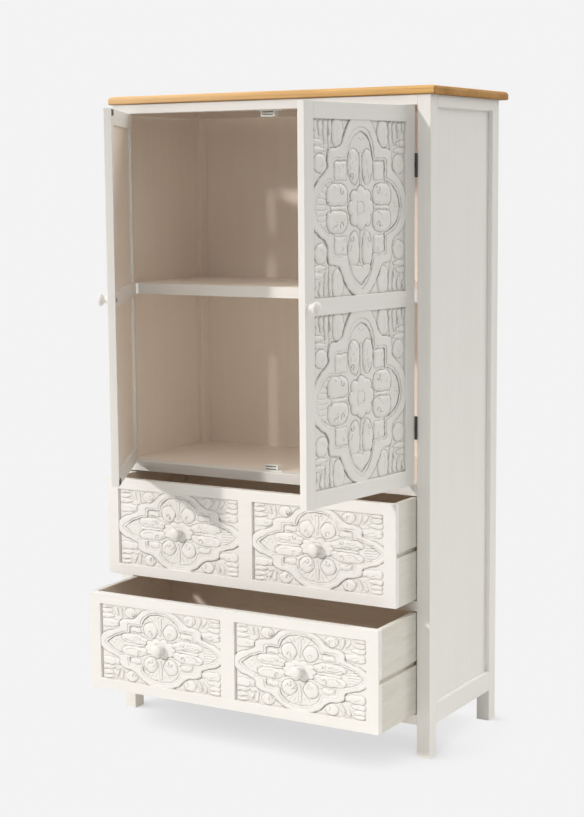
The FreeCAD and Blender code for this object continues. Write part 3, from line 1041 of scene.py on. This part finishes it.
# %% [markdown]
# ### The drawer panel
#
# It is the same quatrefoil laid on its side and pressed flat: both arches are pointed, the round lobes are
# above and below and each holds two discs. A knob stands on the rosette. Here the quatrefoil sits a little
# to the right.

# %% Carve the drawer panel


def all_round(quarter, wide=(1.05, 0.975)):
    """Closes a line drawn from the right tip to the top middle."""
    upper = [(x * wide[0], z) for x, z in quarter] + [(-x * wide[1], z) for x, z in quarter[-2::-1]]
    return outline(upper + [(x, -z) for x, z in upper[-2:0:-1]])


def drawer_carving(pitch):
    c = Carving(313, 168, pitch, GROUND, 0.6)
    # each corner: six leaf fingers and a round boss with a hook
    for sx, sz in QUARTERS:
        for f in (
            (102, 44, 153, 42, 19), (122, 58, 153, 58, 11), (126, 69, 153, 69, 11),
            (126, 79, 152, 79, 9), (99, 58, 105, 80, 9), (110, 62, 119, 79, 9),
        ):
            c.stamp(flip(finger(*f), sx, sz), 4.2, 4.5, 1.0, 0.9, 0.7)
        c.stamp(disc(76 * sx, 71 * sz, 16, 12.5), 4.5, 8, 1.2, 1.0, 0.8)
        c.hook(67 * sx, 68 * sz, 6.5, -sx, sz)
    # a quarter of the strap, of the bead along it and of the sunk field inside
    strap = [
        (164, 0), (157, 14), (140, 24), (120, 30), (109, 35), (107, 46), (98, 54), (77, 57), (64, 61),
        (52, 73), (32, 84), (0, 93),
    ]
    bead = [
        (149, 0), (132, 14), (107, 25), (87, 29), (87, 29), (87, 41), (83, 46), (70, 47), (52, 47),
        (52, 47), (48, 58), (38, 68), (22, 75.5), (0, 78),
    ]
    field = [
        (141, 0), (141, 0), (126, 12), (103, 21), (81, 25), (81, 25), (81, 37), (77, 41), (66, 42),
        (48, 42), (48, 42), (43, 54), (33, 65), (19, 71), (0, 73),
    ]
    c.stamp(all_round(strap, (1.0, 1.0)), 4.6, 5, 1.9, 1.3)
    c.stamp(all_round(bead), 4.0, 1.5, 1.0, 0.9, 0.7)
    c.stamp(all_round(field), FIELD, 1.2, 1.7, 1.5)
    # rays in the field's right tip
    for a in np.linspace(-0.62, 0.62, 7):
        ray = [(112, 26 * math.sin(a)), (112 + 27 * math.cos(a), 30 * math.sin(a))]
        c.score(np.array(ray), 1.6, 1.2, 0.7)
    # small punched dots
    for x, z in ((-108, 0), (-114, 6), (-114, -6), (-121, 0), (-127, 3), (-4, 66), (8, 67), (2, -66)):
        c.score(disc(x, z, 0.7, 0.7, 6), 1.2, 0.8, 0.8)
    # a quarter of the forms round the rosette: an ear, a lobe and a disc
    ear = [(51, 28), (51, 28), (51, 39), (51, 39), (70, 39), (78, 36), (78, 28), (78, 28)]
    lobe = [
        (14, 3), (30, 3), (60, 2.5), (84, 1.5), (84, 1.5), (96, 6), (104, 12), (102, 20), (90, 24.5),
        (76, 24), (66, 25), (52, 23), (42, 20), (28, 13),
    ]
    for sx, sz in QUARTERS:
        inner = (1.05 if sx > 0 else -0.975, sz)
        c.stamp(flip(outline(ear), *inner), 3.9, 4, 1.0, 0.8, 0.7)
        for x in (10, 18, 26):
            vein = np.array([(x, 60 - x * 0.15), (x * 1.35, 70 - x * 0.32)])
            c.score(flip(vein, *inner), 1.4, 0.9, 0.5)
        c.stamp(flip(outline(lobe), *inner), 4.6, 8, 1.2, 1.1, 0.9)
        c.score(flip(outline([(66, 9), (78, 8), (92, 12)], False), *inner), 1.4, 0.8, 0.8)
        ripple = outline([(36, 27), (46, 31), (58, 27), (66, 31), (76, 27)], False)
        c.score(flip(ripple, *inner), 1.4, 0.9, 0.9)
        c.hook(55 * inner[0], 15 * sz, 6.0, -sx, sz)
        c.stamp(disc(25 * inner[0], 38 * sz, 18, 17.5), 4.8, 10, 1.3, 1.2)
        c.hook(26 * inner[0], 32 * sz, 7.0, sx, -sz)
    # four stems from the rosette
    for s in (1, -1):
        c.stamp(flip(finger(1, 30, 1, 68, 7), 1, s), 4.0, 3, 1.0, 0.8, 0.7)
        c.stamp(flip(finger(34, 0, 98, 0, 6), s, 1), 4.1, 3, 1.0, 0.8, 0.7)
    # the rosette, on which the knob stands
    c.stamp(rosette(41, 22.5, 10, 0.2), 4.9, 7, 1.3, 1.1)
    c.stamp(disc(0, 0, 14, 12), TOP, 4, 1.2, 1.0, 0.6)
    # stray knife marks: in the corners, by the bosses, on the lobes and on the discs
    c.strokes(60, 11, (98, 150), (36, 80), (5, 15), 2)
    c.strokes(26, 12, (60, 96), (60, 82), (4, 9), 70)
    c.strokes(44, 13, (30, 100), (3, 24), (4, 12), 8)
    c.strokes(22, 14, (3, 34), (24, 70), (3, 8), 60)
    return c


drawer_cut = drawer_carving(0.85)
print("drawer panel grid:", drawer_cut.size)

# %% [markdown]
# ### From heights to a closed panel
#
# A grid is added with bpy.ops and each of its points takes its height from the carving. The rim is then
# extruded straight back to the panel's rear plane and closed with one face, so that the panel is a real
# board with a carved front. One panel is made for the doors and one for the drawers, and the others are
# copies.

# %% Make the two panels
LOWEST = -2.5
SMOOTH_UNDER = 75


def carved_panel(name, cut, shade_direction, low, high):
    nx, nz = cut.size
    # the glaze with painted shade, strongest on the walls that face away from the light
    glaze_and_shade = cut.glaze_with_painted_shade(*shade_direction)
    deselect()
    bpy.ops.mesh.primitive_grid_add(x_subdivisions=nx - 1, y_subdivisions=nz - 1, size=1)
    piece = bpy.context.object
    piece.name = piece.data.name = name
    mesh = piece.data
    grid = np.zeros(len(mesh.vertices) * 3, np.float32)
    mesh.vertices.foreach_get("co", grid)
    grid = grid.reshape(-1, 3)
    i = np.rint((grid[:, 0] + 0.5) * (nx - 1)).astype(int)
    k = np.rint((grid[:, 1] + 0.5) * (nz - 1)).astype(int)
    height = np.clip(cut.h[k, i], LOWEST, TOP)
    places = np.c_[
        low.x + (high.x - low.x) * i / (nx - 1),
        low.y + (TOP - height) * MM,
        low.z + (high.z - low.z) * k / (nz - 1),
    ]
    mesh.vertices.foreach_set("co", places.astype(np.float32).ravel())
    write_values(mesh, "cut", np.clip(glaze_and_shade[k, i], 0, 1))
    write_values(mesh, "rise", np.clip(height / TOP, 0, 1))
    to_edit(piece)
    bpy.ops.mesh.select_all(action="SELECT")
    bpy.ops.mesh.region_to_loop()
    bpy.ops.mesh.extrude_region_move(TRANSFORM_OT_translate={"value": (0, high.y - low.y, 0)})
    bpy.ops.transform.resize(value=(1, 0, 1), center_override=(0, high.y, 0))
    bpy.ops.mesh.edge_face_add()
    bpy.ops.mesh.select_all(action="SELECT")
    bpy.ops.mesh.normals_make_consistent(inside=False)
    to_object()
    bpy.ops.object.shade_smooth_by_angle(angle=math.radians(SMOOTH_UNDER))
    return piece


def panel_nodes(bodies, places):
    """The carved panels' nodes with their bodies."""
    return [(f"{body}_{place}_carved_panel", body) for body in bodies for place in places]


def place_panels(cut, shade_direction, targets, back_finish):
    """Carves one panel at the first target's place and copies it to the others."""
    low, high = shut_box(*targets[0])
    middle, rear = (low + high) / 2, high.y - MM
    pattern = carved_panel(targets[0][0] + "_relief", cut, shade_direction, low, high)
    dress(pattern, carved_paint, back_finish, choose=lambda n, c: INSIDE if c.y > rear else OUTSIDE)
    made = [pattern]
    for node, body in targets[1:]:
        low, high = shut_box(node, body)
        made.append(twin_of(pattern, node + "_relief", Matrix.Translation((low + high) / 2 - middle)))
    for piece, (node, body) in zip(made, targets):
        fasten(piece, body, "carved_paint", node)
    return made


door_panels = panel_nodes(("right_door", "left_door"), ("upper", "lower"))
drawer_panels = panel_nodes(("upper_drawer", "lower_drawer"), ("right", "left"))
# the second argument gives the direction, across and up, in which the surface rises where the painted shade
# is strongest
panels = place_panels(door_cut, (1.0, -0.25), door_panels, inside_upright)
panels += place_panels(drawer_cut, (-0.8, 0.8), drawer_panels, drawer_brown)
print("carved panels:", len(panels), "with", sum(len(p.data.polygons) for p in panels), "faces")

# %% [markdown]
# ## The drawers
#
# A drawer is a front frame, two grooved sides, a back and a bottom. Frame and sides have windows and
# grooves, so they are cleaned copies of the CAD outline with eased edges. The outside and the top edges are
# white, the inside is plain brown.

# %% Make the drawer boxes
DRAWERS = ("upper_drawer", "lower_drawer")

for body in DRAWERS:
    node = body + "_front_frame"
    piece = cad_copy(node, body)
    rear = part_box(node)[1].y - 2 * MM
    dress(piece, white_level, drawer_brown,
          choose=lambda n, c: INSIDE if n.y > TOWARDS and c.y > rear else OUTSIDE)
    fasten(piece, body, "white_paint", node)
    for side, sign in (("left", -1), ("right", 1)):
        node = f"{body}_{side}_side"
        piece = cad_copy(node, body)
        dress(piece, drawer_white, drawer_brown, choose=faces_inwards(side=sign))
        fasten(piece, body, "drawer_paint", node)
    back, bottom = body + "_back", body + "_bottom"
    piece = board(back + "_board", *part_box(back))
    dress(piece, drawer_white, drawer_brown, choose=faces_inwards(front=True))
    fasten(piece, body, "drawer_inside", back)
    piece = board(bottom + "_board", *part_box(bottom))
    dress(piece, drawer_brown)
    fasten(piece, body, "drawer_inside", bottom)
print("drawer boards:", sum("drawer" in o.name and o.name.endswith("_board") for o in bpy.data.objects))

# %% [markdown]
# ## Knobs and screws
#
# A knob is turned on a lathe, so its half profile is drawn once, in millimetres of radius and height, and
# spun about its axis. It has a wide foot, a waist and a round head with a nearly flat front. The knobs are
# a hair smaller than the CAD's, so that they stay inside its box. The door knobs show the head of their
# screw inside the door, which stays as the CAD made it.

# %% Spin a knob
KNOB_PROFILE = [
    (0, 0), (9.2, 0), (9.5, 0.8), (9.1, 2.0), (8.0, 3.6), (7.2, 5.6), (7.0, 7.6), (7.5, 9.2), (9.5, 10.4),
    (11.6, 12.0), (12.9, 13.9), (13.5, 15.8), (13.4, 16.9), (12.7, 18.2), (11.2, 19.6), (8.8, 20.8),
    (5.6, 21.6), (2.8, 21.9), (0, 22.0),
]
THINNER, SHORTER = 0.985, 0.998
DOORS = ("left_door", "right_door")


def spun(name, profile):
    """Spins a half profile about Z."""
    line = [profile[0], *outline(profile[1:-1], closed=False, steps=3), profile[-1]]
    points = [(r * MM, 0, z * MM) for r, z in line]
    mesh = bpy.data.meshes.new(name)
    mesh.from_pydata(points, [(i, i + 1) for i in range(len(points) - 1)], [])
    piece = new_object(name, mesh)
    to_edit(piece, POINTS)
    bpy.ops.mesh.select_all(action="SELECT")
    bpy.ops.mesh.spin(steps=40, angle=2 * math.pi, center=(0, 0, 0), axis=(0, 0, 1))
    bpy.ops.mesh.select_all(action="SELECT")
    bpy.ops.mesh.remove_doubles(threshold=WELD / 2)
    bpy.ops.mesh.normals_make_consistent(inside=False)
    to_object()
    bpy.ops.object.shade_smooth_by_angle(angle=math.radians(60))
    return piece


def set_knob(name, body, node, x, y, z):
    """Copies the knob, lays it from pointing up to pointing to the front, and fastens it."""
    move = Matrix.Translation((x, y, z)) @ Matrix.Rotation(math.pi / 2, 4, "X")
    return fasten(twin_of(knob_pattern, name, move), body, "knob_paint", node)


low, high = shut_box("left_door_knob", "left_door")
fit = (high.z - low.z) / 2 / MM / max(r for r, z in KNOB_PROFILE)
knob_pattern = spun("knob_pattern", [(r * fit * THINNER, z * SHORTER) for r, z in KNOB_PROFILE])
dress(knob_pattern, knob_paint)
knobs = []
for body in DOORS:
    node = body + "_knob"
    low, high = shut_box(node, body)
    x, z = (low.x + high.x) / 2, (low.z + high.z) / 2
    knobs.append(set_knob(node + "_turned", body, node, x, high.y, z))
for body in DRAWERS:
    node = body + "_knobs"
    low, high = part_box(node)
    for side, sign in (("left", -1), ("right", 1)):
        x = sign * (high.x - (high.z - low.z) / 2)
        knobs.append(set_knob(f"{body}_knob_{side}", body, node, x, high.y, (low.z + high.z) / 2))
bpy.data.objects.remove(knob_pattern)
print("knobs:", len(knobs))

# %% [markdown]
# ## What stays as the CAD made it
#
# Hinges, strike plates, catches, screws and runners have their true shape already. They keep their CAD mesh
# and only get their finish, which is put into the material slots that the mesh has.

# %% Dress the CAD nodes that stay
KEPT = {"hinge_post_leaves": black_metal, "drawer_runners": runner_wood, "magnetic_catches": catch_plastic}
for body in DOORS:
    KEPT[body + "_hinge_leaves"] = black_metal
    KEPT[body + "_strike_plates"] = dark_steel
    KEPT[body + "_knob_screw"] = steel
for node, material in KEPT.items():
    slots = frame["nodes"][node].data.materials
    if not slots:
        slots.append(material)
    for i in range(len(slots)):
        slots[i] = material
print("kept CAD nodes:", sorted(KEPT))

# %% [markdown]
# ## The catches' poles
#
# Each magnetic catch has two thin steel plates that stand in slots of its front. Two small bars are added
# per catch, bevelled, a little behind the plastic's front.

# %% Make the pole plates
CATCH_HEIGHT = 14 * MM
POLE_HALF_LENGTH, POLE_HALF_THICK = 13.3 * MM, 0.9 * MM
POLE_FRONT, POLE_BACK = 0.4 * MM, 1.4 * MM

catch_low, catch_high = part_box("magnetic_catches")
poles = []
for base in (catch_low.z, catch_high.z - CATCH_HEIGHT):
    for offset in (4, 10):
        z = base + offset * MM
        low = Vector((-POLE_HALF_LENGTH, catch_low.y + POLE_FRONT, z - POLE_HALF_THICK))
        high = Vector((POLE_HALF_LENGTH, catch_low.y + POLE_BACK, z + POLE_HALF_THICK))
        poles.append(board("pole", low, high, 0.2 * MM))
only(poles[0])
for bar in poles:
    bar.select_set(True)
bpy.ops.object.join()
poles[0].name = poles[0].data.name = "catch_pole_plates"
dress(poles[0], dark_steel)
fasten(poles[0], "carcase", "steel")
print("pole plates at heights", [round(v, 3) for v in (catch_low.z, catch_high.z)])

# %% [markdown]
# ## Floor, light and camera
#
# The studio is a sheet of pale paper on the floor, under a pale sky. To the camera the paper shows one
# fixed pale value, the same as the backdrop, darkened only where the cupboard stands close above it. That
# shade leans to the right and the back, away from the main lamp. All other rays see plain paper that takes
# light, gives it back and glows a little, because that bounce lights the lower rails from below.

# %% Make the floor
BACKDROP = (0.896, 0.896, 0.896)
TOWARDS_LAMP = Vector((-0.45, -0.7, 0.8)).normalized()

deselect()
bpy.ops.mesh.primitive_plane_add(size=7, location=(0, 0, 0))
floor = bpy.context.object
floor.name = floor.data.name = "studio_floor"
floor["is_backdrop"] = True
floor_material, tree, shader, _ = start_material("studio_floor_paper")
feed(tree, shader, {"Roughness": 0.9, "Specular IOR Level": 0.1, "Base Color": (0.62, 0.62, 0.60)})
feed(tree, shader, {"Emission Color": (1, 1, 0.98), "Emission Strength": 0.22})
leaning = add_node(tree, "CombineXYZ", dict(enumerate(TOWARDS_LAMP)))
closeness = add_node(tree, "AmbientOcclusion", {"Distance": 0.34, "Normal": leaning.outputs[0]})
closeness.samples = 24
shade = remap(tree, closeness.outputs["AO"], 0.25, 0.67, 0.665, 1.0)
shown = add_node(tree, "Emission", {"Color": BACKDROP, "Strength": shade})
rays = tree.nodes.new("ShaderNodeLightPath")
parts = {0: rays.outputs["Is Camera Ray"], 1: shader.outputs[0], 2: shown.outputs[0]}
feed(tree, tree.nodes["Material Output"], {"Surface": add_node(tree, "MixShader", parts).outputs[0]})
floor.data.materials.append(floor_material)
print("floor nodes:", len(tree.nodes))

# %% [markdown]
# One distant lamp from the front left throws the shadows of doors and knobs. A weak, wide one from the
# front right fills them. A very wide lamp overhead and a wide one from the back right, both with blurred
# shadows, stand for the large soft boxes of a studio.

# %% Make the lights
world = bpy.data.worlds.new("studio")
bpy.context.scene.world = world
world.use_nodes = True
tree = world.node_tree
ambient = tree.nodes["Background"]
feed(tree, ambient, {"Color": (1.0, 1.0, 1.0), "Strength": 0.07})
backdrop = add_node(tree, "Background", {"Color": BACKDROP})
rays = tree.nodes.new("ShaderNodeLightPath").outputs
seen = math_node(tree, "MAXIMUM", rays["Is Camera Ray"], rays["Is Glossy Ray"])
seen = math_node(tree, "MAXIMUM", seen, rays["Is Transmission Ray"])
parts = {0: seen, 1: ambient.outputs[0], 2: backdrop.outputs[0]}
feed(tree, tree.nodes["World Output"], {"Surface": add_node(tree, "MixShader", parts).outputs[0]})


def distant_lamp(name, towards, width, strength, colour):
    """A sun lamp whose light travels along towards. width is how large it looks, in degrees."""
    lamp = new_object(name, bpy.data.lights.new(name, "SUN"))
    lamp.data.energy = strength
    lamp.data.angle = math.radians(width)
    lamp.data.color = colour
    lamp.rotation_mode = "QUATERNION"
    lamp.rotation_quaternion = Vector(towards).to_track_quat("-Z", "Y")


SOFT_BOX = (1.0, 0.99, 0.955)
distant_lamp("key_light", (0.53, 1.0, -0.527), 4, 1.45, (1.0, 0.955, 0.935))
distant_lamp("front_fill", (-0.35, 1.0, -0.2), 60, 0.15, (1.0, 0.97, 0.95))
distant_lamp("ceiling_soft_box", (0.10, 0.22, -1.0), 90, 2.3, SOFT_BOX)
distant_lamp("right_soft_box", (-0.82, -1.0, -0.64), 30, 1.35, SOFT_BOX)

# %% [markdown]
# The camera was worked out from the photograph: corners of the cupboard, whose places are known, were
# matched with where they appear. It stands nearly 4 m from the cupboard at 1.2 m height, turned 30 degrees
# and tipped down by 7.5 degrees.

# %% Set the camera
YAW, PITCH, ROLL = (math.radians(v) for v in (30.398, 7.453, 0.473))
CAMERA_PLACE = (1.9192, -3.3303, 1.2001)

forward = Vector((-math.sin(YAW) * math.cos(PITCH), math.cos(YAW) * math.cos(PITCH), -math.sin(PITCH)))
level = Vector((math.cos(YAW), math.sin(YAW), 0))
down = forward.cross(level)
right = math.cos(ROLL) * level + math.sin(ROLL) * down
down = -math.sin(ROLL) * level + math.cos(ROLL) * down
camera = new_object("camera", bpy.data.cameras.new("camera"))
axes = Matrix((right, -down, -forward)).transposed().to_4x4()
camera.matrix_world = Matrix.Translation(CAMERA_PLACE) @ axes
camera.data.sensor_fit = "HORIZONTAL"
camera.data.sensor_width = 36
camera.data.lens = 107.08
camera.data.clip_end = 200
bpy.context.scene.camera = camera
bpy.context.scene.view_settings.view_transform = "Standard"
print("camera distance from the origin:", round(Vector(CAMERA_PLACE).length, 2))

# %% [markdown]
# ## Last look at the size
#
# The visual model's triangles are counted and its box is measured.

# %% Count the triangles and measure the box
triangles = sum(len(p.vertices) - 2 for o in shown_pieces() if o.type == "MESH" for p in o.data.polygons)
print("triangles:", triangles)
low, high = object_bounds()
